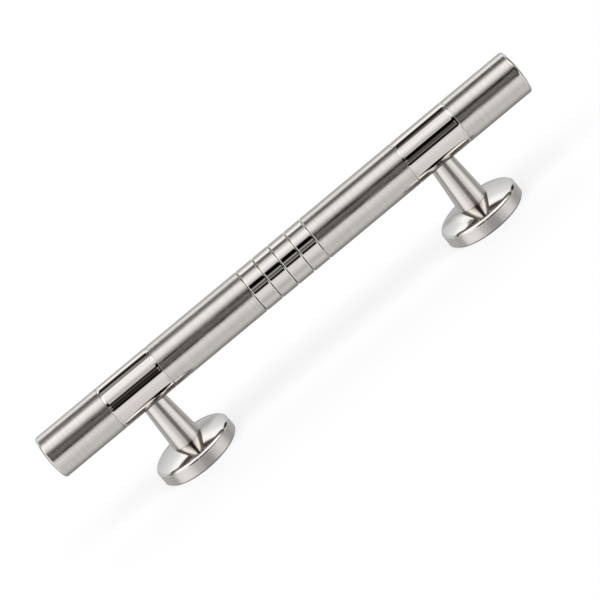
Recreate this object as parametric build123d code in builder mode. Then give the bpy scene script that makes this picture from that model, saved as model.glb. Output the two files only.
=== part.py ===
from build123d import *
import os

os.makedirs("parts", exist_ok=True)

# Driving dimensions in millimetres. The mounting face is the plane z = 0 and the bar runs along X.

# Fixing centres and reach of the handle
post_spacing = 128.0
bar_height = 34.0

# Segments of the bar. The tubes fill the room between the rings and the sleeves, and each sleeve
# reaches sleeve_inboard from its post towards the middle.
bar_dia = 17.2
ring_count = 4
ring_length = 7.0
sleeve_length = 22.5
sleeve_inboard = 10.0
cap_length = 27.8

# Bevelled edges of the segments, each as (length along the bar, depth below its surface)
groove_edge = (0.45, 0.45)
sleeve_edge = (1.0, 0.12)
satin_edge = (0.12, 0.12)

# Rounded end of the caps
cap_round = 1.0
cap_crown = 0.8

# Tie rod that holds the segments together, and the blind bore that each cap has for it
rod_dia = 10.0
rod_end_bevel = 0.8
rod_clearance = 0.1
rod_end_gap = 1.5
cap_end_wall = 9.5

# Posts: a cone from the neck at the bar down to its base on the rose, with a spigot below
neck_dia = 9.3
base_dia = 11.7
base_bevel = 0.15
spigot_dia = 6.0
saddle_clearance = 0.05

# Studs that join the posts to the tie rod
stud_dia = 5.0
stud_in_post = 9.0
stud_past_axis = 3.0
stud_end_bevel = 0.5
stud_clearance = 0.1
stud_bore_relief = 1.0

# Hole in each post for the fixing screw, at the tapping size of its thread
screw_bore_dia = 3.3
screw_bore_length = 12.0

# Roses: discs with a domed top, which falls from a level seat for the post over a shoulder to the rim
rose_dia = 31.0
seat_height = 8.0
seat_slope = 7.0
shoulder_dia = 28.0
shoulder_height = 5.55
rim_height = 4.8
rim_bevel = 0.3
rose_base_bevel = 0.4
spigot_clearance = 0.1
spigot_recess = 0.5

# Places worked out from the sizes above
sides = {"left": -1, "right": 1}
bar_radius = bar_dia / 2
bore_radius = rod_dia / 2 + rod_clearance
ring_stack = ring_count * ring_length
tube_start = ring_stack / 2
sleeve_start = post_spacing / 2 - sleeve_inboard
cap_start = sleeve_start + sleeve_length
cap_end = cap_start + cap_length
cap_face = cap_end - cap_crown
cap_bore_end = cap_end - cap_end_wall
rod_length = 2 * (cap_bore_end - rod_end_gap)
stud_hole_radius = stud_dia / 2 + stud_clearance
spigot_radius = spigot_dia / 2
spigot_hole_radius = spigot_radius + spigot_clearance
neck_height = bar_height - bar_radius
neck_slope = (base_dia - neck_dia) / 2 / (neck_height - seat_height)
cone_end_radius = neck_dia / 2 - neck_slope * bar_radius
bar_axis = Axis((0, 0, bar_height), (1, 0, 0))


def outward_section(sign):
    """Plane through the bar's axis whose first direction runs from the middle to one end."""
    return Plane(origin=(0, 0, bar_height), x_dir=(sign, 0, 0), z_dir=(0, -sign, 0))


def post_section(sign):
    """Plane through one post's axis, with the radius first and the height second."""
    return Plane(origin=(sign * post_spacing / 2, 0, 0), x_dir=(1, 0, 0), z_dir=(0, -1, 0))


def post_axis(sign):
    return Axis((sign * post_spacing / 2, 0, 0), (0, 0, 1))


def segment_outline(start, end, start_edge, end_edge):
    """Half section of a bored segment with bevelled edges."""
    start_length, start_depth = start_edge
    end_length, end_depth = end_edge
    Polyline(
        (start, bore_radius),
        (start, bar_radius - start_depth),
        (start + start_length, bar_radius),
        (end - end_length, bar_radius),
        (end, bar_radius - end_depth),
        (end, bore_radius),
        close=True,
    )


def keep(builder, name):
    builder.part.label = name
    export_step(builder.part, f"parts/{name}.step")


# Rings in the middle of the bar
for index in range(ring_count):
    ring_start = index * ring_length - ring_stack / 2
    with BuildPart() as ring:
        with BuildSketch(outward_section(1)):
            with BuildLine():
                segment_outline(ring_start, ring_start + ring_length, groove_edge, groove_edge)
            make_face()
        revolve(axis=bar_axis)
    keep(ring, f"ring_{index + 1}")

# Tie rod with a bevelled thread end in each cap and a cross hole for each stud
with BuildPart() as core_rod:
    with BuildSketch(Plane.YZ.offset(-rod_length / 2)):
        with Locations((0, bar_height)):
            Circle(rod_dia / 2)
    extrude(amount=rod_length)
    chamfer(core_rod.edges().filter_by(GeomType.CIRCLE), rod_end_bevel)
    with BuildSketch(Plane.XY.offset(bar_height)):
        with GridLocations(post_spacing, 0, 2, 1):
            Circle(stud_hole_radius)
    extrude(amount=rod_dia, both=True, mode=Mode.SUBTRACT)
keep(core_rod, "core_rod")

for side, sign in sides.items():
    # Satin grip tube between the rings and the sleeve
    with BuildPart() as tube:
        with BuildSketch(outward_section(sign)):
            with BuildLine():
                segment_outline(tube_start, sleeve_start, groove_edge, satin_edge)
            make_face()
        revolve(axis=bar_axis)
    keep(tube, f"tube_{side}")

    # Polished sleeve with a clearance hole for the stud
    with BuildPart() as sleeve:
        with BuildSketch(outward_section(sign)):
            with BuildLine():
                segment_outline(sleeve_start, cap_start, sleeve_edge, sleeve_edge)
            make_face()
        revolve(axis=bar_axis)
        with BuildSketch(Plane.XY.offset(bar_height)):
            with Locations((sign * post_spacing / 2, 0)):
                Circle(stud_hole_radius)
        extrude(amount=-bar_dia, mode=Mode.SUBTRACT)
    keep(sleeve, f"sleeve_{side}")

    # Satin end cap with a blind bore for the tie rod and a slightly crowned end
    with BuildPart() as cap:
        with BuildSketch(outward_section(sign)):
            with BuildLine():
                edge = TangentArc(
                    (cap_face - cap_round, bar_radius),
                    (cap_face, bar_radius - cap_round),
                    tangent=(1, 0),
                )
                crown = TangentArc((cap_end, 0), edge @ 1, tangent=(0, 1))
                Polyline(
                    crown @ 0,
                    (cap_bore_end, 0),
                    (cap_bore_end, bore_radius),
                    (cap_start, bore_radius),
                    (cap_start, bar_radius - satin_edge[1]),
                    (cap_start + satin_edge[0], bar_radius),
                    edge @ 0,
                )
            make_face()
        revolve(axis=bar_axis)
    keep(cap, f"cap_{side}")

    # Post: satin cone with a spigot for the rose, cut to the bar at the top
    with BuildPart() as post:
        with BuildSketch(post_section(sign)):
            with BuildLine():
                Polyline(
                    (0, spigot_recess),
                    (spigot_radius, spigot_recess),
                    (spigot_radius, seat_height),
                    (base_dia / 2 - base_bevel, seat_height),
                    (base_dia / 2, seat_height + base_bevel),
                    (cone_end_radius, bar_height),
                    (0, bar_height),
                    close=True,
                )
            make_face()
        revolve(axis=post_axis(sign))
        with BuildSketch(Plane.YZ.offset(sign * post_spacing / 2)):
            with Locations((0, bar_height)):
                Circle(bar_radius + saddle_clearance)
        extrude(amount=base_dia, both=True, mode=Mode.SUBTRACT)
        with BuildSketch(Plane.XY.offset(neck_height - stud_in_post - stud_bore_relief)):
            with Locations((sign * post_spacing / 2, 0)):
                Circle(stud_hole_radius)
        extrude(amount=bar_radius + stud_in_post, mode=Mode.SUBTRACT)
        with BuildSketch(Plane.XY.offset(spigot_recess)):
            with Locations((sign * post_spacing / 2, 0)):
                Circle(screw_bore_dia / 2)
        extrude(amount=screw_bore_length, mode=Mode.SUBTRACT)
    keep(post, f"post_{side}")

    # Stud from the post through the sleeve into the tie rod
    stud_start = neck_height - stud_in_post
    with BuildPart() as stud:
        with BuildSketch(Plane.XY.offset(stud_start)):
            with Locations((sign * post_spacing / 2, 0)):
                Circle(stud_dia / 2)
        extrude(amount=bar_height + stud_past_axis - stud_start)
        chamfer(stud.edges().filter_by(GeomType.CIRCLE), stud_end_bevel)
    keep(stud, f"stud_{side}")

    # Rose: polished dome above a satin rim
    with BuildPart() as rose:
        with BuildSketch(post_section(sign)):
            with BuildLine():
                crown = TangentArc(
                    (base_dia / 2, seat_height),
                    (shoulder_dia / 2, shoulder_height),
                    tangent=Vector(1, 0).rotate(Axis.Z, -seat_slope),
                )
                shoulder = TangentArc(crown @ 1, (rose_dia / 2 - rim_bevel, rim_height), tangent=crown % 1)
                Polyline(
                    shoulder @ 1,
                    (rose_dia / 2, rim_height - rim_bevel),
                    (rose_dia / 2, rose_base_bevel),
                    (rose_dia / 2 - rose_base_bevel, 0),
                    (spigot_hole_radius, 0),
                    (spigot_hole_radius, seat_height),
                    crown @ 0,
                )
            make_face()
        revolve(axis=post_axis(sign))
    keep(rose, f"rose_{side}")
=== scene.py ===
# %% [markdown]
# # A bar handle in satin and polished nickel
# The handle is a stack of turned pieces: two end caps, two sleeves, two grip tubes and four rings on one
# bar, with two tapered posts that stand on domed roses. The packed CAD model is loaded first. It fixes
# every size and place, and this lesson gives each turned piece the fine edges and the finish of the real
# one.

# %% Load the frame
import math

import bpy
from mathutils import Matrix, Vector


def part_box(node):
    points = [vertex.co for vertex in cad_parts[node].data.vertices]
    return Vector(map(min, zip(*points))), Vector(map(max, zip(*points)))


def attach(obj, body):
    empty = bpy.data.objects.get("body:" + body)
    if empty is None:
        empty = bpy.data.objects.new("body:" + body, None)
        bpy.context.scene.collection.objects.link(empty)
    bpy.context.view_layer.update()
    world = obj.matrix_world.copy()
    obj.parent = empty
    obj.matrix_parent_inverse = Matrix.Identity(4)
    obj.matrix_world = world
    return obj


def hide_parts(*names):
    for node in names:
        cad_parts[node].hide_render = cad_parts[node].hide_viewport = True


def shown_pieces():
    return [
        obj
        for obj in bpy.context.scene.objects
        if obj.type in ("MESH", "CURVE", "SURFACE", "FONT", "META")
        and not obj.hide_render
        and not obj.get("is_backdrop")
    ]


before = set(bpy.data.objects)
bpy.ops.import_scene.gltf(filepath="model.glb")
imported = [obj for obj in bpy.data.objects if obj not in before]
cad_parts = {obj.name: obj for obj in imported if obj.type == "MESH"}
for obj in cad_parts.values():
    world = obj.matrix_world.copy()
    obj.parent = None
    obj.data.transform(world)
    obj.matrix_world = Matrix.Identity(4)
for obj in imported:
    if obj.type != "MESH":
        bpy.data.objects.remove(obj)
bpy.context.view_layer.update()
print("CAD nodes:", ", ".join(sorted(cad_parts)))

# %% [markdown]
# ## Sizes from the frame
# A lathe operator works from a drawing, and here the frame is the drawing. Each place along the bar is read
# from a node's box, so the pieces below land on the CAD solids. Only the bores, the neck and the small
# edges, which a box can't tell, are given as numbers.

# %% Read the sizes
MM = 0.001
SIDES = {"left": -1, "right": 1}

ring_low, ring_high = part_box("ring_1")
rose_low, rose_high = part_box("rose_right")
post_low, post_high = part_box("post_right")

bar_radius = (ring_high.z - ring_low.z) / 2
bar_height = (ring_high.z + ring_low.z) / 2
bore_radius = 5.1 * MM
post_place = (post_low.x + post_high.x) / 2
rose_radius = (rose_high.x - rose_low.x) / 2
seat_height = rose_high.z
base_radius = (post_high.x - post_low.x) / 2
neck_radius = 4.65 * MM
neck_height = bar_height - bar_radius

print(f"bar {2 * bar_radius / MM:.1f} mm thick, axis {bar_height / MM:.1f} mm up")
print(f"posts at {post_place / MM:.1f} mm, on seats {seat_height / MM:.1f} mm up")
print(f"roses {2 * rose_radius / MM:.1f} mm across")

# %% [markdown]
# ## A lathe
# Every visible piece is turned, so one tool makes them all: a single vertex is extruded along the half
# section of the piece and the line is spun about the axis. A cylinder primitive with bevels would do for
# the tubes, but not for the domed rose, and the spin keeps every edge where the section puts it. Round
# stretches of a section are arcs that leave a point in a given direction and end at another point.

# %% Arcs and the lathe
ROUND_STEPS = 256
MERGE = 1e-7
STRAIGHT = 1e-6
SMOOTH_ANGLE = math.radians(32)
BAR_AXIS = Vector((1, 0, 0))
UP = Vector((0, 0, 1))


def arc(start, heading, end, steps):
    """Points of the circular arc that leaves start along heading and ends at end."""
    start, end, heading = Vector(start), Vector(end), Vector(heading).normalized()
    chord = end - start
    turn = 2 * heading.angle_signed(chord)
    if abs(turn) < STRAIGHT:
        return [start, end]
    radius = chord.length / 2 / math.sin(turn / 2)
    centre = start + radius * Vector((heading.y, -heading.x))
    spoke = start - centre
    return [centre + Matrix.Rotation(-turn * step / steps, 2) @ spoke for step in range(steps + 1)]


def deselect():
    bpy.ops.object.select_all(action="DESELECT")


def lathe(name, section, place, along, out):
    """Turn a piece about the axis along, which runs through place.

    The section holds points of (distance along the axis, radius), and out is the direction of the radius.
    """
    points = [Vector(place) + along * step + out * radius for step, radius in section]
    deselect()
    bpy.ops.mesh.primitive_plane_add(size=MM, location=points[0])
    piece = bpy.context.object
    piece.name = piece.data.name = name
    bpy.ops.object.mode_set(mode="EDIT")
    bpy.ops.mesh.merge(type="CENTER")
    for here, there in zip(points, points[1:]):
        bpy.ops.mesh.extrude_region_move(TRANSFORM_OT_translate={"value": there - here})
    bpy.ops.mesh.select_all(action="SELECT")
    bpy.ops.mesh.spin(steps=ROUND_STEPS, angle=math.tau, center=place, axis=along)
    bpy.ops.mesh.select_all(action="SELECT")
    bpy.ops.mesh.remove_doubles(threshold=MERGE)
    bpy.ops.mesh.normals_make_consistent(inside=False)
    bpy.ops.object.mode_set(mode="OBJECT")
    bpy.ops.object.transform_apply(location=True, rotation=True, scale=True)
    bpy.ops.object.shade_smooth_by_angle(angle=SMOOTH_ANGLE)
    return piece


def stand_for(piece, node):
    """Let a finished piece take the place of its CAD node."""
    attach(piece, "root")
    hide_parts(node)


print(f"lathe with {ROUND_STEPS} steps round")

# %% [markdown]
# ## Sections of the bar
# Tubes, sleeves and rings share one kind of section: a bore for the tie rod, two end faces and a straight
# outside, whose edges roll off by a little. The rings have round shoulders that meet as grooves, the
# sleeves only ease off over the last millimetre, and the satin edges are just broken. A short straight run
# beside each edge keeps the smooth shading of the edge out of the long mirror between them.

# %% Half section of a segment
GROOVE_EDGE = (0.45 * MM, 0.45 * MM)
SLEEVE_EDGE = (1.0 * MM, 0.12 * MM)
SATIN_EDGE = (0.12 * MM, 0.12 * MM)
EDGE_STEPS = 8
GUARD = 0.08 * MM
SEAM = 0.04 * MM


def rolled_edge(end, sign, edge):
    """Arc from the straight outside to an end face; sign says which way the end looks."""
    length, depth = edge
    face = end - sign * SEAM
    start = face - sign * length
    roll = arc((start, bar_radius), (sign, 0), (face, bar_radius - depth), EDGE_STEPS)
    return [Vector((start - sign * GUARD, bar_radius)), *roll]


def segment(name, start, end, start_edge, end_edge):
    """One bored segment of the bar between two places along it."""
    section = [(start + SEAM, bore_radius), *reversed(rolled_edge(start, -1, start_edge))]
    section += [*rolled_edge(end, 1, end_edge), (end - SEAM, bore_radius), (start + SEAM, bore_radius)]
    return lathe(name, section, (0, 0, bar_height), BAR_AXIS, UP)


print(f"grooves {2 * GROOVE_EDGE[0] / MM:.1f} mm wide, sleeve edges {SLEEVE_EDGE[0] / MM:.1f} mm long")

# %% [markdown]
# ## Four rings
# The polished rings are alike, so one is turned in the middle of the bar and copied to its four places.
# Each copy gets its own mesh, moved there, because a finished piece keeps its place in its mesh.

# %% Turn and copy the rings
RING_COUNT = 4

ring_length = ring_high.x - ring_low.x
ring_blank = segment("ring_blank", 0, ring_length, GROOVE_EDGE, GROOVE_EDGE)
for index in range(1, RING_COUNT + 1):
    ring = ring_blank.copy()
    ring.data = ring_blank.data.copy()
    ring.name = ring.data.name = f"turned_ring_{index}"
    bpy.context.collection.objects.link(ring)
    ring.data.transform(Matrix.Translation((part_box(f"ring_{index}")[0].x, 0, 0)))
    stand_for(ring, f"ring_{index}")
print(f"one ring of {len(ring_blank.data.polygons)} faces, copied to {RING_COUNT} places")
bpy.data.objects.remove(ring_blank)

# %% [markdown]
# ## Grip tubes and sleeves
# A satin tube reaches from the rings to each polished sleeve. Its inner edge shares a groove with the last
# ring and its outer edge is only broken. The sleeves carry the posts and have a hole below for the stud,
# drilled here with a boolean cut, as on a drill press.

# %% Turn the tubes and sleeves
STUD_HOLE_RADIUS = 2.6 * MM
HOLE_STEPS = 64


def cut(piece, drill):
    """Take a second solid out of a piece and clear it away."""
    deselect()
    bpy.context.view_layer.objects.active = piece
    piece.select_set(True)
    change = piece.modifiers.new("cut", "BOOLEAN")
    change.operation = "DIFFERENCE"
    change.solver = "EXACT"
    change.object = drill
    bpy.ops.object.modifier_apply(modifier=change.name)
    bpy.data.objects.remove(drill)
    bpy.ops.object.shade_smooth_by_angle(angle=SMOOTH_ANGLE)


for side, sign in SIDES.items():
    low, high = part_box(f"tube_{side}")
    edges = (GROOVE_EDGE, SATIN_EDGE) if sign > 0 else (SATIN_EDGE, GROOVE_EDGE)
    tube = segment(f"grip_tube_{side}", low.x, high.x, *edges)
    stand_for(tube, f"tube_{side}")

    low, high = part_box(f"sleeve_{side}")
    sleeve = segment(f"post_sleeve_{side}", low.x, high.x, SLEEVE_EDGE, SLEEVE_EDGE)
    deselect()
    bpy.ops.mesh.primitive_cylinder_add(
        vertices=HOLE_STEPS,
        radius=STUD_HOLE_RADIUS,
        depth=bar_radius,
        location=(sign * post_place, 0, neck_height),
    )
    cut(sleeve, bpy.context.object)
    stand_for(sleeve, f"sleeve_{side}")
    print(f"{side}: tube {len(tube.data.polygons)} faces, drilled sleeve {len(sleeve.data.polygons)} faces")

# %% [markdown]
# ## End caps
# Each cap closes the bar with a slightly crowned end and a rounded edge of about a millimetre, and is bored
# only part of the way. The section starts on the axis at the bottom of the bore and ends on the axis at the
# crown.

# %% Turn the caps
CAP_ROUND = 1.0 * MM
CAP_CROWN = 0.8 * MM
CAP_END_WALL = 9.5 * MM
CAP_STEPS = 12


def end_cap(side, sign):
    """A cap whose section runs outwards from its joint with the sleeve."""
    low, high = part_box(f"cap_{side}")
    joint, end = (low.x, high.x) if sign > 0 else (-high.x, -low.x)
    face = end - CAP_CROWN
    bore_end = end - CAP_END_WALL
    edge_start = (face - CAP_ROUND, bar_radius)
    edge = arc(edge_start, (1, 0), (face, bar_radius - CAP_ROUND), CAP_STEPS)
    crown = arc((end, 0), (0, 1), edge[-1], CAP_STEPS)
    section = [(bore_end, 0), (bore_end, bore_radius), (joint + SEAM, bore_radius)]
    section += [*reversed(rolled_edge(joint, -1, SATIN_EDGE)), (edge_start[0] - GUARD, bar_radius)]
    section += [*edge, *list(reversed(crown))[1:]]
    return lathe(f"end_cap_{side}", section, (0, 0, bar_height), sign * BAR_AXIS, UP)


for side, sign in SIDES.items():
    cap = end_cap(side, sign)
    stand_for(cap, f"cap_{side}")
    print(f"cap {side}: {len(cap.data.polygons)} faces")

# %% [markdown]
# ## Posts
# A post is a satin cone with a small broken edge at its base, a spigot below for the rose, and blind bores
# for the stud and the fixing screw. Its top is hollowed to sit on the sleeve. The cone is turned too long
# and the bar's cylinder is cut out of it, which gives the saddle line that shows under the bar.

# %% Turn the posts and cut the saddles
BASE_EDGE = 0.15 * MM
SPIGOT_RADIUS = 3.0 * MM
SPIGOT_END = 0.5 * MM
SCREW_RADIUS = 1.65 * MM
SCREW_END = 12.5 * MM
STUD_BORE_END = neck_height - 10.0 * MM
SADDLE_GAP = 0.05 * MM
CONE_STEPS = 8
neck_slope = (base_radius - neck_radius) / (neck_height - seat_height)


def cone_radius(height):
    return neck_radius + neck_slope * (neck_height - height)


def turned_post(side, sign):
    """A post with its spigot and bores, cut to the bar at the top."""
    foot = seat_height + BASE_EDGE
    start = foot + GUARD
    top = neck_height + bar_radius / 2
    heights = [foot] + [start + (top - start) * step / CONE_STEPS for step in range(CONE_STEPS + 1)]
    section = [(SCREW_END, 0), (SCREW_END, SCREW_RADIUS), (SPIGOT_END, SCREW_RADIUS)]
    section += [(SPIGOT_END, SPIGOT_RADIUS), (seat_height, SPIGOT_RADIUS)]
    section += [(seat_height, base_radius - BASE_EDGE)]
    section += [(height, cone_radius(height)) for height in heights]
    section += [(top, STUD_HOLE_RADIUS), (STUD_BORE_END, STUD_HOLE_RADIUS), (STUD_BORE_END, 0)]
    post = lathe(f"turned_post_{side}", section, (sign * post_place, 0, 0), UP, BAR_AXIS)
    deselect()
    bpy.ops.mesh.primitive_cylinder_add(
        vertices=ROUND_STEPS,
        radius=bar_radius + SADDLE_GAP,
        depth=4 * base_radius,
        location=(sign * post_place, 0, bar_height),
        rotation=(0, math.pi / 2, 0),
    )
    cut(post, bpy.context.object)
    return post


for side, sign in SIDES.items():
    post = turned_post(side, sign)
    stand_for(post, f"post_{side}")
    print(f"post {side}: {len(post.data.polygons)} faces")

# %% [markdown]
# ## Roses
# The rose is a disc with a domed mirror on top. The dome leaves the post's seat at a gentle fall, and a
# tighter arc takes it over the shoulder to the rim. The edge between the mirror and the satin rim is broken
# by a small round.

# %% Turn the roses
SEAT_FALL = math.radians(7.0)
SHOULDER = (5.95 * MM, 14.2 * MM)
RIM_HEIGHT = 4.8 * MM
RIM_EDGE = 0.12 * MM
ROSE_BASE_EDGE = 0.55 * MM
SPIGOT_HOLE = 3.1 * MM
DOME_STEPS = 40
SHOULDER_STEPS = 16


def turned_rose(side, sign):
    """A rose whose section runs from the spigot hole over the dome to the base."""
    seat = (seat_height, base_radius)
    dome = arc(seat, (-math.sin(SEAT_FALL), math.cos(SEAT_FALL)), SHOULDER, DOME_STEPS)
    rim = (RIM_HEIGHT, rose_radius - RIM_EDGE)
    shoulder = arc(SHOULDER, dome[-1] - dome[-2], rim, SHOULDER_STEPS)
    edge = arc(rim, shoulder[-1] - shoulder[-2], (RIM_HEIGHT - RIM_EDGE, rose_radius), EDGE_STEPS)
    section = [(0, SPIGOT_HOLE), (seat_height, SPIGOT_HOLE), *dome, *shoulder[1:], *edge[1:]]
    section += [(edge[-1][0] - GUARD, rose_radius), (ROSE_BASE_EDGE + GUARD, rose_radius)]
    section += [(ROSE_BASE_EDGE, rose_radius), (0, rose_radius - ROSE_BASE_EDGE), (0, SPIGOT_HOLE)]
    return lathe(f"turned_rose_{side}", section, (sign * post_place, 0, 0), UP, BAR_AXIS)


for side, sign in SIDES.items():
    rose = turned_rose(side, sign)
    stand_for(rose, f"rose_{side}")
    print(f"rose {side}: {len(rose.data.polygons)} faces")

# %% [markdown]
# ## Shader arithmetic
# The finishes below are built from noise in object coordinates. Writing them as plain expressions keeps
# them short: a small class wraps a socket, arithmetic on it adds Math nodes, and one method adds any other
# node.

# %% A socket with arithmetic


class Wire:
    """A node tree with one of its output sockets."""

    def __init__(self, tree, socket=None):
        self.tree = tree
        self.socket = socket

    def node(self, kind, settings=None, sockets=None, out=0):
        made = self.tree.nodes.new("ShaderNode" + kind)
        for key, value in (settings or {}).items():
            if key == "stops":
                while len(made.color_ramp.elements) < len(value):
                    made.color_ramp.elements.new(1.0)
                for element, (position, level) in zip(made.color_ramp.elements, value):
                    element.position = position
                    element.color = (level, level, level, 1.0)
            else:
                setattr(made, key, value)
        for key, value in (sockets or {}).items():
            if isinstance(value, Wire):
                self.tree.links.new(value.socket, made.inputs[key])
            else:
                made.inputs[key].default_value = value
        return Wire(self.tree, made.outputs[out])

    def math(self, operation, first, second=0.0):
        return self.node("Math", {"operation": operation}, {0: first, 1: second})

    def __add__(self, other):
        return self.math("ADD", self, other)

    def __sub__(self, other):
        return self.math("SUBTRACT", self, other)

    def __rsub__(self, other):
        return self.math("SUBTRACT", other, self)

    def __mul__(self, other):
        return self.math("MULTIPLY", self, other)

    def __truediv__(self, other):
        return self.math("DIVIDE", self, other)

    def __rtruediv__(self, other):
        return self.math("DIVIDE", other, self)

    __radd__ = __add__
    __rmul__ = __mul__

    def parts(self):
        """The x, y and z of a vector."""
        first = self.node("SeparateXYZ", None, {"Vector": self})
        return [Wire(self.tree, socket) for socket in first.socket.node.outputs]

    def fade(self, start, end):
        """0 before start and 1 after end, with a smooth step between."""
        limits = {"From Min": start, "From Max": end}
        return self.node("MapRange", {"interpolation_type": "SMOOTHSTEP"}, {"Value": self, **limits})

    def between(self, start, end, soft):
        """1 between start and end, with soft edges."""
        return self.fade(start - soft / 2, start + soft / 2) * (1 - self.fade(end - soft / 2, end + soft / 2))

    def mix(self, first, second):
        """Blend two colours, with this value as the share of the second."""
        return self.node("Mix", {"data_type": "RGBA"}, {"Factor": self, 6: first, 7: second}, out=2)


print("a wire can", ", ".join(word for word in vars(Wire) if not word.startswith("_")))

# %% [markdown]
# ## Nickel finishes
# Both finishes are the same warm nickel. The satin one was brushed while it turned, so fine lines run round
# the piece, and then rubbed lengthwise, which left finer marks along it. The turned lines are noise in the
# colour and the roughness. The rub marks are a bump too fine to see, which softens the dark bands across
# the bar as on the real one, where more roughness would also smear them along it. The polished finish is a
# mirror with the faintest haze.

# %% Satin and polished nickel
SATIN_LIGHT = (0.82, 0.782, 0.745, 1.0)
SATIN_DARK = (0.735, 0.70, 0.665, 1.0)
POLISH_LIGHT = (0.835, 0.80, 0.763, 1.0)
POLISH_DARK = (0.81, 0.775, 0.74, 1.0)
HAIR_CONTRAST = (0.35, 0.65)
RUB_DEPTH = 1.5e-5
SWIRL_DEPTH = 2e-5
MIRROR_ROUGH = 0.012
HAZE_ROUGH = 0.02
QUARTER_TURN = 0.25


def material(name):
    """A metal material with its tree, its shader and its object coordinates."""
    made = bpy.data.materials.new(name)
    made.use_nodes = True
    tree = made.node_tree
    shader = tree.nodes["Principled BSDF"]
    shader.inputs["Metallic"].default_value = 1.0
    place = Wire(tree).node("TexCoord", out=3)
    return made, tree, shader, place


def grain(place, stretch, detail=4.0):
    """Noise drawn out into lines: stretch gives the lines per metre along x, y and z."""
    lines = place.node("VectorMath", {"operation": "MULTIPLY"}, {0: place, 1: stretch})
    return lines.node("TexNoise", None, {"Vector": lines, "Scale": 1.0, "Detail": detail, "Roughness": 0.6})


def bump(height, strength, depth):
    return height.node("Bump", None, {"Strength": strength, "Distance": depth, "Height": height})


def connect(tree, shader, **sockets):
    for name, wire in sockets.items():
        tree.links.new(wire.socket, shader.inputs[name.replace("_", " ")])


def brush(shader, amount):
    """Blur the reflections along the axis of a piece that was brushed as it turned."""
    shader.inputs["Anisotropic"].default_value = amount
    shader.inputs["Anisotropic Rotation"].default_value = QUARTER_TURN


def satin_nickel(name, fine, broad, rub, rough, brushed):
    """Nickel with turned lines round one axis and finer rub marks along it."""
    made, tree, shader, place = material(name)
    hair = grain(place, fine)
    cloud = grain(place, broad, 2.0)
    marks = grain(place, rub, 1.0)
    brush(shader, brushed)
    connect(
        tree,
        shader,
        Base_Color=(0.6 * hair.fade(*HAIR_CONTRAST) + 0.4 * cloud).mix(SATIN_DARK, SATIN_LIGHT),
        Roughness=rough + 0.10 * (hair - 0.5) + 0.08 * (cloud - 0.5),
        Normal=bump(marks + 0.05 * hair, 1.0, RUB_DEPTH),
    )
    return made


def polished_nickel(name):
    """Mirror nickel with a faint haze and a faint unevenness from the buffing wheel."""
    made, tree, shader, place = material(name)
    haze = grain(place, (260.0, 260.0, 260.0), 3.0)
    swirl = grain(place, (90.0, 90.0, 90.0), 1.0)
    connect(
        tree,
        shader,
        Base_Color=haze.mix(POLISH_DARK, POLISH_LIGHT),
        Roughness=MIRROR_ROUGH + HAZE_ROUGH * haze,
        Normal=bump(swirl, 0.1, SWIRL_DEPTH),
    )
    return made


satin_bar = satin_nickel(
    "satin_bar",
    fine=(2600.0, 40.0, 40.0),
    broad=(500.0, 20.0, 20.0),
    rub=(60.0, 11000.0, 11000.0),
    rough=0.14,
    brushed=0.0,
)
satin_post = satin_nickel(
    "satin_post",
    fine=(60.0, 60.0, 9000.0),
    broad=(25.0, 25.0, 700.0),
    rub=(900.0, 900.0, 40.0),
    rough=0.20,
    brushed=0.6,
)
mirror = polished_nickel("polished_nickel")
for finish in (satin_bar, satin_post, mirror):
    print(f"{finish.name}: {len(finish.node_tree.nodes)} nodes")

# %% [markdown]
# ## The rose's two finishes
# The rose was polished on its dome and left satin on its rim, so one material holds both and a mask by
# height picks between them, with the change just below the edge.

# %% Polished dome, satin rim
RIM_GRAIN_DEPTH = 2e-6


def rose_nickel(name):
    made, tree, shader, place = material(name)
    height = place.parts()[2]
    dome = height.fade(RIM_HEIGHT - 1.2 * RIM_EDGE, RIM_HEIGHT - 0.8 * RIM_EDGE)
    hair = grain(place, (60.0, 60.0, 9000.0))
    cloud = grain(place, (140.0, 140.0, 300.0), 2.0)
    satin_colour = (0.5 * hair.fade(*HAIR_CONTRAST) + 0.5 * cloud).mix(SATIN_DARK, SATIN_LIGHT)
    brush(shader, 0.9)
    connect(
        tree,
        shader,
        Base_Color=dome.mix(satin_colour, POLISH_LIGHT),
        Roughness=dome * (MIRROR_ROUGH + HAZE_ROUGH * cloud) + (1 - dome) * (0.24 + 0.1 * hair),
        Normal=bump(hair * (1 - dome), 0.4, RIM_GRAIN_DEPTH),
    )
    return made


rose_finish = rose_nickel("rose_nickel")
print(f"{rose_finish.name}: {len(rose_finish.node_tree.nodes)} nodes")

# %% [markdown]
# ## Plain steel inside
# The tie rod and the studs are CAD nodes that stay inside the bar. They get a plain turned steel, greyer
# and duller than the nickel outside. Then each piece is dressed in the finish that goes with its name.

# %% Turned steel, and every piece dressed
STEEL_DARK = (0.42, 0.42, 0.43, 1.0)
STEEL_LIGHT = (0.56, 0.56, 0.57, 1.0)


def turned_steel(name):
    made, tree, shader, place = material(name)
    marks = grain(place, (2500.0, 80.0, 80.0))
    connect(tree, shader, Base_Color=marks.mix(STEEL_DARK, STEEL_LIGHT), Roughness=0.35 + 0.2 * marks)
    return made


def dress(piece, finish):
    piece.data.materials.clear()
    piece.data.materials.append(finish)


steel = turned_steel("turned_steel")
finishes = {
    "ring": mirror,
    "sleeve": mirror,
    "tube": satin_bar,
    "cap": satin_bar,
    "post": satin_post,
    "rose": rose_finish,
}
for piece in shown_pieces():
    kind = next((word for word in finishes if f"_{word}" in piece.name), None)
    dress(piece, finishes.get(kind, steel))
    print(piece.name, "gets", piece.data.materials[0].name)

# %% [markdown]
# ## Floor
# The handle stands on a plain white sheet. The camera sees it lifted to white by a little emission, while
# the lit part keeps the soft shadow round the roses. The mirrors take their white from the room below, so
# reflections pass through the sheet, but for a narrow ring round each rose that shows as the line where the
# rose meets it.

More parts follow.
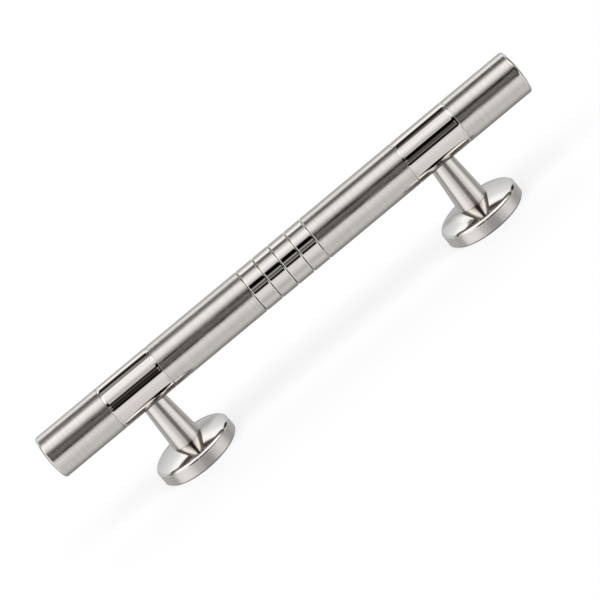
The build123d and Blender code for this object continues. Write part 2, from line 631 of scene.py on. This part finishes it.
# %% White floor
FLOOR_SIZE = 6.0
FLOOR_LIFT = 0.71
FLOOR_DARK = (0.40, 0.40, 0.40, 1.0)
FLOOR_LIGHT = (0.42, 0.42, 0.42, 1.0)
CONTACT = 1.0 * MM


def white_floor():
    made, tree, shader, place = material("white_floor")
    paper = grain(place, (40.0, 40.0, 40.0), 3.0)
    shader.inputs["Metallic"].default_value = 0.0
    shader.inputs["Roughness"].default_value = 0.9
    connect(tree, shader, Base_Color=paper.mix(FLOOR_DARK, FLOOR_LIGHT))
    seen = place.node("LightPath", out="Is Camera Ray")
    mirrored = place.node("LightPath", out="Is Glossy Ray")
    lift = place.node("Emission", None, {"Color": FLOOR_LIFT * seen})
    lit = place.node("AddShader", None, {0: Wire(tree, shader.outputs[0]), 1: lift})
    across, depth, _ = place.parts()
    aside = across.math("ABSOLUTE", across) - post_place
    away = across.math("SQRT", aside * aside + depth * depth)
    clear = mirrored * away.fade(rose_radius, rose_radius + CONTACT)
    both = place.node("MixShader", None, {0: clear, 1: lit, 2: place.node("BsdfTransparent")})
    tree.links.new(both.socket, tree.nodes["Material Output"].inputs["Surface"])
    return made


deselect()
bpy.ops.mesh.primitive_plane_add(size=FLOOR_SIZE, location=(0, 0, 0))
floor = bpy.context.object
floor.name = "floor"
dress(floor, white_floor())
floor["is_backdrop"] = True
print(f"floor {FLOOR_SIZE:.0f} m across")

# %% [markdown]
# ## Studio
# A mirror shows its surroundings, so the room is part of the finish. A picture of a room could light it,
# but the reflections tell well enough what stood there, and a few angles describe it. Most of it runs along
# the bar, so it goes by the angle about the bar: 0 is level on the camera's side, 90 is up and 180 is level
# behind. The rest goes by the compass, where 0 is the camera's side and 90 is the right, and by the rise
# above level. How far a direction leans along the bar tells which piece mirrors it: the rings hardly at
# all, then the tubes, the sleeves and the caps.

# %% Angles of a direction
LEAN_SHIFT = 0.0155
DEGREES = math.degrees(1)


class Aim:
    """The angles in degrees of a direction, given as a vector, and its lean along the bar."""

    def __init__(self, direction):
        aside, depth, height = direction.parts()
        front = 0 - depth
        level = direction.math("SQRT", aside * aside + depth * depth)
        upright = direction.math("SQRT", depth * depth + height * height)
        self.about = direction.math("ARCTAN2", height, front) * DEGREES
        self.compass = direction.math("ARCTAN2", aside, front) * DEGREES
        self.rise = direction.math("ARCTAN2", height, level) * DEGREES
        self.turned = direction.math("ABSOLUTE", self.compass)
        self.right = aside / upright + LEAN_SHIFT
        self.left = 0 - self.right
        self.lean = direction.math("ABSOLUTE", self.right)


def curve(angle, stops):
    """Light read from a list of (angle, light) points."""
    brightest = max(level for _, level in stops)
    placed = [((degrees + 180) / 360, level / brightest) for degrees, level in stops]
    return brightest * angle.node("ValToRGB", {"stops": placed}, {"Fac": (angle + 180) / 360})


print(f"a direction leans by its share along the bar plus {LEAN_SHIFT}")

# %% [markdown]
# ## Bands along the bar
# Round the bar stand a pale floor in front, a dark strip where it ends, the dim side of the room round the
# camera, a long soft box overhead, a dark gap, and a white backdrop behind. The box is brighter at its
# ends. Towards both ends of the bar the gap arches down behind and is darker. The sleeves see the strip
# darker, with a lighter upper edge, and the floor evener. That edge also falls on a nearer card, where
# their part of it leans further out.

# %% Light of the bands
ABOUT_BAR = [
    (-180, 0.50), (-154, 0.30), (-134, 0.24), (-114, 0.32), (-94, 0.60), (-80, 0.65), (-55, 0.53),
    (-36, 0.74), (-22, 0.87), (-4.6, 0.80), (-2.6, 0.0), (4.4, 0.0), (6.5, 0.18), (11, 0.29), (15.3, 0.03),
    (23, 0.42), (25.5, 0.30), (27.5, 0.0), (43.5, 0.0), (47, 0.42), (51, 0.74), (68, 1.08), (78, 1.04),
    (87, 0.80), (95, 0.50), (104, 0.16), (113.8, 0.13), (121, 1.02), (129, 1.17), (143, 0.70), (153, 0.44),
    (180, 0.58),
]
ARCH_LEAN, ARCH_ABOUT = (0.01, 0.08), (95, 108)
ARCH_LEFT, ARCH_RIGHT = 13, 7
GAP_LEAN, GAP_START, GAP_END = (0.012, 0.045), (90, 102), (114, 121)
CAP_LEAN = (0.08, 0.1)
BOX_END_START, BOX_END_STOP, BOX_END_RISE = (25, 45), (100, 120), (30, 42)
SLEEVE_LEAN, SLEEVE_LEAN_NEAR = (0.045, 0.095, 0.02), (0.045, 0.125, 0.02)
STRIP, STRIP_TOP = (3, 26, 3), (21, 28, 3)
FLOOR_BAND, FLOOR_BAND_LIGHT = (-72, -28, 12), 0.78
STRIP_EDGE_LEFT, STRIP_EDGE_RIGHT, STRIP_EDGE_LIGHT = (35, 52, 4), (40.5, 52, 3), 0.6


def bands_along_bar(aim):
    bend = ARCH_LEFT * aim.left.fade(*ARCH_LEAN) + ARCH_RIGHT * aim.right.fade(*ARCH_LEAN)
    about = aim.about - bend * aim.about.fade(*ARCH_ABOUT)
    gap = about.fade(*GAP_START) * (1 - about.fade(*GAP_END))
    gap = gap * aim.lean.fade(*GAP_LEAN) * (1 - 0.6 * aim.right.fade(*CAP_LEAN))
    box_end = aim.turned.fade(*BOX_END_START) * (1 - aim.turned.fade(*BOX_END_STOP))
    box_end = box_end * aim.rise.fade(*BOX_END_RISE)
    return curve(about, ABOUT_BAR) * (1 + 0.4 * box_end) * (1 - 0.9 * gap)


def bands_by_sleeves(aim, bands):
    """The bands with the changes that the sleeves see."""
    left, right = aim.left.between(*SLEEVE_LEAN), aim.right.between(*SLEEVE_LEAN)
    bands = bands * (1 - (0.85 * left + 0.35 * right) * aim.about.between(*STRIP))
    bands = bands * (1 - 0.9 * right * aim.about.between(*STRIP_TOP))
    pale = 0.8 * (left + right) * aim.about.between(*FLOOR_BAND)
    edge = aim.left.between(*SLEEVE_LEAN_NEAR) * aim.about.between(*STRIP_EDGE_LEFT)
    edge = edge + aim.right.between(*SLEEVE_LEAN_NEAR) * aim.about.between(*STRIP_EDGE_RIGHT)
    return bands * (1 - pale) * (1 - edge) + FLOOR_BAND_LIGHT * pale + STRIP_EDGE_LIGHT * edge


print(f"{len(ABOUT_BAR)} stops about the bar")

# %% [markdown]
# ## Panels, wall and corner
# To both sides stand white panels with a dark gap behind each, which the posts and the rims mirror. The
# domes look at the wall behind, which brightens with the rise and is a little cooler. A dark corner in
# front on the right draws the black line at the dome's edge. It is paler straight to the right, where the
# bar mirrors it when seen from its left end.

# %% Light of the whole room
BY_COMPASS = [
    (-180, 0.58), (-118, 0.55), (-100, 0.20), (-94, 0.20), (-82, 1.10), (-55, 1.15), (-22, 0.75),
    (22, 0.75), (45, 1.08), (60, 1.12), (74, 1.0), (92, 0.22), (110, 0.22), (122, 0.55), (180, 0.62),
]
WALL_BY_RISE = [(-20, 0.58), (5, 0.60), (20, 0.70), (35, 0.86), (43, 1.15), (60, 1.15)]
PANEL_START, PANEL_STOP, PANEL_SET_BACK = (12, 24), (150, 172), 18
PANEL_FOOT, PANEL_TOP, LEFT_PANEL_HEIGHT = (-75, -50), (-3, 8), 30
PANEL_LEVEL, PANEL_LEFT_SIDE = (-3, 3), (-20, 0)
LOW_RISE, LOW_TURN = (-19, -12), (100, 130)
WALL_TURN, WALL_LEAN, WALL_FOOT, WALL_TOP = (105, 125), (0.10, 0.15), (-8, 4), (50, 58)
CORNER_START, CORNER_STOP, CORNER_FOOT, CORNER_TOP = (8, 20), (128, 140), (1, 5), (24, 32)
CORNER_PALER = (70, 110, 14)


def panel_share(aim):
    """How far a direction lies on the panels, of which the left one is higher."""
    height = LEFT_PANEL_HEIGHT * (1 - aim.compass.fade(*PANEL_LEFT_SIDE))
    start = (aim.turned - PANEL_SET_BACK * aim.rise.fade(*PANEL_LEVEL)).fade(*PANEL_START)
    width = start * (1 - aim.turned.fade(*PANEL_STOP))
    return width * aim.rise.fade(*PANEL_FOOT) * (1 - (aim.rise - height).fade(*PANEL_TOP))


def panel_light(aim):
    """Light of the panels, which are evener below, where the floor lights them."""
    low = 0.7 * (1 - aim.rise.fade(*LOW_RISE))
    return curve(aim.compass, BY_COMPASS) * (1 - low) + (0.75 - 0.35 * aim.turned.fade(*LOW_TURN)) * low


def room_light(direction):
    """How bright the room is in a direction, and how far that direction lies on the wall behind."""
    aim = Aim(direction)
    panels = panel_share(aim)
    light = bands_by_sleeves(aim, bands_along_bar(aim)) * (1 - panels) + panel_light(aim) * panels
    wall = aim.turned.fade(*WALL_TURN) * aim.lean.fade(*WALL_LEAN)
    wall = wall * aim.rise.fade(*WALL_FOOT) * (1 - aim.rise.fade(*WALL_TOP))
    light = light * (1 - wall) + curve(aim.rise, WALL_BY_RISE) * wall
    corner = aim.compass.fade(*CORNER_START) * (1 - aim.compass.fade(*CORNER_STOP))
    corner = corner * aim.rise.fade(*CORNER_FOOT) * (1 - aim.rise.fade(*CORNER_TOP))
    corner = corner * (1 - 0.45 * aim.compass.between(*CORNER_PALER))
    return light * (1 - 0.95 * corner), wall


print(f"{len(BY_COMPASS)} stops by the compass, {len(WALL_BY_RISE)} up the wall")

# %% [markdown]
# ## Light on the world
# The world shows this room to the metal and plain white to the camera. Dim directions are a little warmer
# and the wall a little cooler. What one mirror shows of another is darker in the photograph than this room
# makes it, so light that comes over two mirrors is shaded from below and from the upper wall.

# %% Room as the world
WHITE = (1.0, 1.0, 1.0, 1.0)
WALL_TINT = (0.972, 1.0, 1.025, 1.0)
DARK_TINT = (1.09, 1.0, 0.91, 1.0)
DIM_LIGHT = (0.05, 0.45)
TWO_MIRRORS = (2.2, 2.8)
BELOW, UPPER_WALL, BEHIND = (-0.3, -0.05), (0.2, 0.4), (0.1, 0.3)


def studio():
    room = bpy.data.worlds.new("studio")
    bpy.context.scene.world = room
    room.use_nodes = True
    tree = room.node_tree
    direction = Wire(tree).node("TexCoord", out=0)
    light, wall = room_light(direction)
    seen = light.node("LightPath", out="Is Camera Ray")
    bounces = light.node("LightPath", out="Ray Depth")
    _, depth, height = direction.parts()
    shade = 0.75 * (1 - height.fade(*BELOW)) + 0.85 * height.fade(*UPPER_WALL) * depth.fade(*BEHIND)
    light = light * (1 - bounces.fade(*TWO_MIRRORS) * shade)
    warmth = (light.fade(*DIM_LIGHT) * (1 - seen) + seen).mix(DARK_TINT, WHITE)
    tint = (wall * (1 - seen)).mix(warmth, WALL_TINT)
    connect(tree, tree.nodes["Background"], Strength=light * (1 - seen) + seen, Color=tint)
    return room


print(f"{studio().name}: {len(bpy.context.scene.world.node_tree.nodes)} nodes")

# %% [markdown]
# ## Flags
# The posts and roses are darker in front than the bar is: something low stood before them and kept the
# front light off. A photographer does this with flags. Here cards of thin cloth stand far in front. They
# glow just as the room behind them does, but by light linking only for the pieces that should see that
# light. To the others they are black, but for the share of the room's light that the cloth lets through.

# %% Cards with light linking
CARD_DISTANCE = 1.5
CARD_EDGE = 0.38
CARD_TWO_MIRRORS = (1.2, 1.8)
BAR_PIECES = ("turned_ring", "grip_tube", "post_sleeve", "end_cap")


def card_cloth(name, start, end, through):
    """Cloth between two places across the front that glows like the room and thins out to both sides."""
    made, tree, _, place = material(name)
    bounces = place.node("LightPath", out="Ray Depth")
    light = room_light(place)[0] * (1 - bounces.fade(*CARD_TWO_MIRRORS))
    glow = place.node("Emission", None, {"Color": light})
    across = place.parts()[0]
    cover = across.fade(start, start + CARD_EDGE) * (1 - across.fade(end - CARD_EDGE, end))
    thin = through * cover + (1 - cover)
    cloth = place.node("MixShader", None, {0: thin, 1: glow, 2: place.node("BsdfTransparent")})
    tree.links.new(cloth.socket, tree.nodes["Material Output"].inputs["Surface"])
    return made


def front_card(name, compass, rise, through, lit):
    """A card between two compass and two rise angles, which glows for pieces whose names start with lit."""
    start, end = [CARD_DISTANCE * math.tan(math.radians(angle)) for angle in compass]
    bottom, top = [CARD_DISTANCE * math.tan(math.radians(angle)) for angle in rise]
    deselect()
    bpy.ops.mesh.primitive_plane_add(size=1.0, rotation=(math.pi / 2, 0, 0))
    card = bpy.context.object
    card.name = name
    card.scale = (end - start, top - bottom, 1)
    card.location = ((start + end) / 2, -CARD_DISTANCE, (bottom + top) / 2)
    bpy.ops.object.transform_apply(location=True, rotation=True, scale=True)
    dress(card, card_cloth(name, start, end, through))
    card.visible_camera = card.visible_diffuse = card.visible_shadow = False
    receivers = bpy.data.collections.new(name + "_lit")
    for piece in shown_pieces():
        if piece.name.startswith(lit):
            receivers.objects.link(piece)
    card.light_linking.receiver_collection = receivers
    card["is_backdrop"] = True


front_card("low_card", compass=(-15, 31), rise=(-17, -3), through=0.16, lit=BAR_PIECES)
front_card("lowest_card", compass=(-34, 50), rise=(-36, -17), through=0.68, lit=BAR_PIECES)
front_card("high_card", compass=(-24, 30), rise=(38, 76), through=0.0, lit=(*BAR_PIECES, "turned_rose"))

# %% [markdown]
# ## Camera
# The photograph was taken from in front of the bar and a little above it, with a long lens and a rolled
# camera, so that the bar runs up to the right. The place and the angles come from fitting the edges of the
# bar, the joints, the posts and the roses. The camera first looks straight down, is rolled, tilted up and
# then panned.

# %% Camera at the photograph's place
LENS = 167.39
SENSOR = 36.0
LENS_SHIFT = (-0.0002, 0.00026)
FARTHEST = 20.0
CAMERA_PLACE = Vector((0.014923, -0.904516, 0.332208))
PAN = math.radians(1.154)
TILT = math.radians(70.978)
ROLL = math.radians(-40.085)

bpy.ops.object.camera_add(location=CAMERA_PLACE)
camera = bpy.context.object
turn = Matrix.Rotation(PAN, 4, "Z") @ Matrix.Rotation(TILT, 4, "X") @ Matrix.Rotation(ROLL, 4, "Z")
camera.matrix_world = Matrix.Translation(CAMERA_PLACE) @ turn
camera.data.lens = LENS
camera.data.sensor_width = SENSOR
camera.data.shift_x, camera.data.shift_y = LENS_SHIFT
camera.data.clip_end = FARTHEST
bpy.context.scene.camera = camera
bpy.context.scene.view_settings.view_transform = "Standard"
print(f"camera {CAMERA_PLACE.length:.2f} m away with a {LENS:.0f} mm lens")

# %% [markdown]
# The visual model has to stay in the CAD model's box.
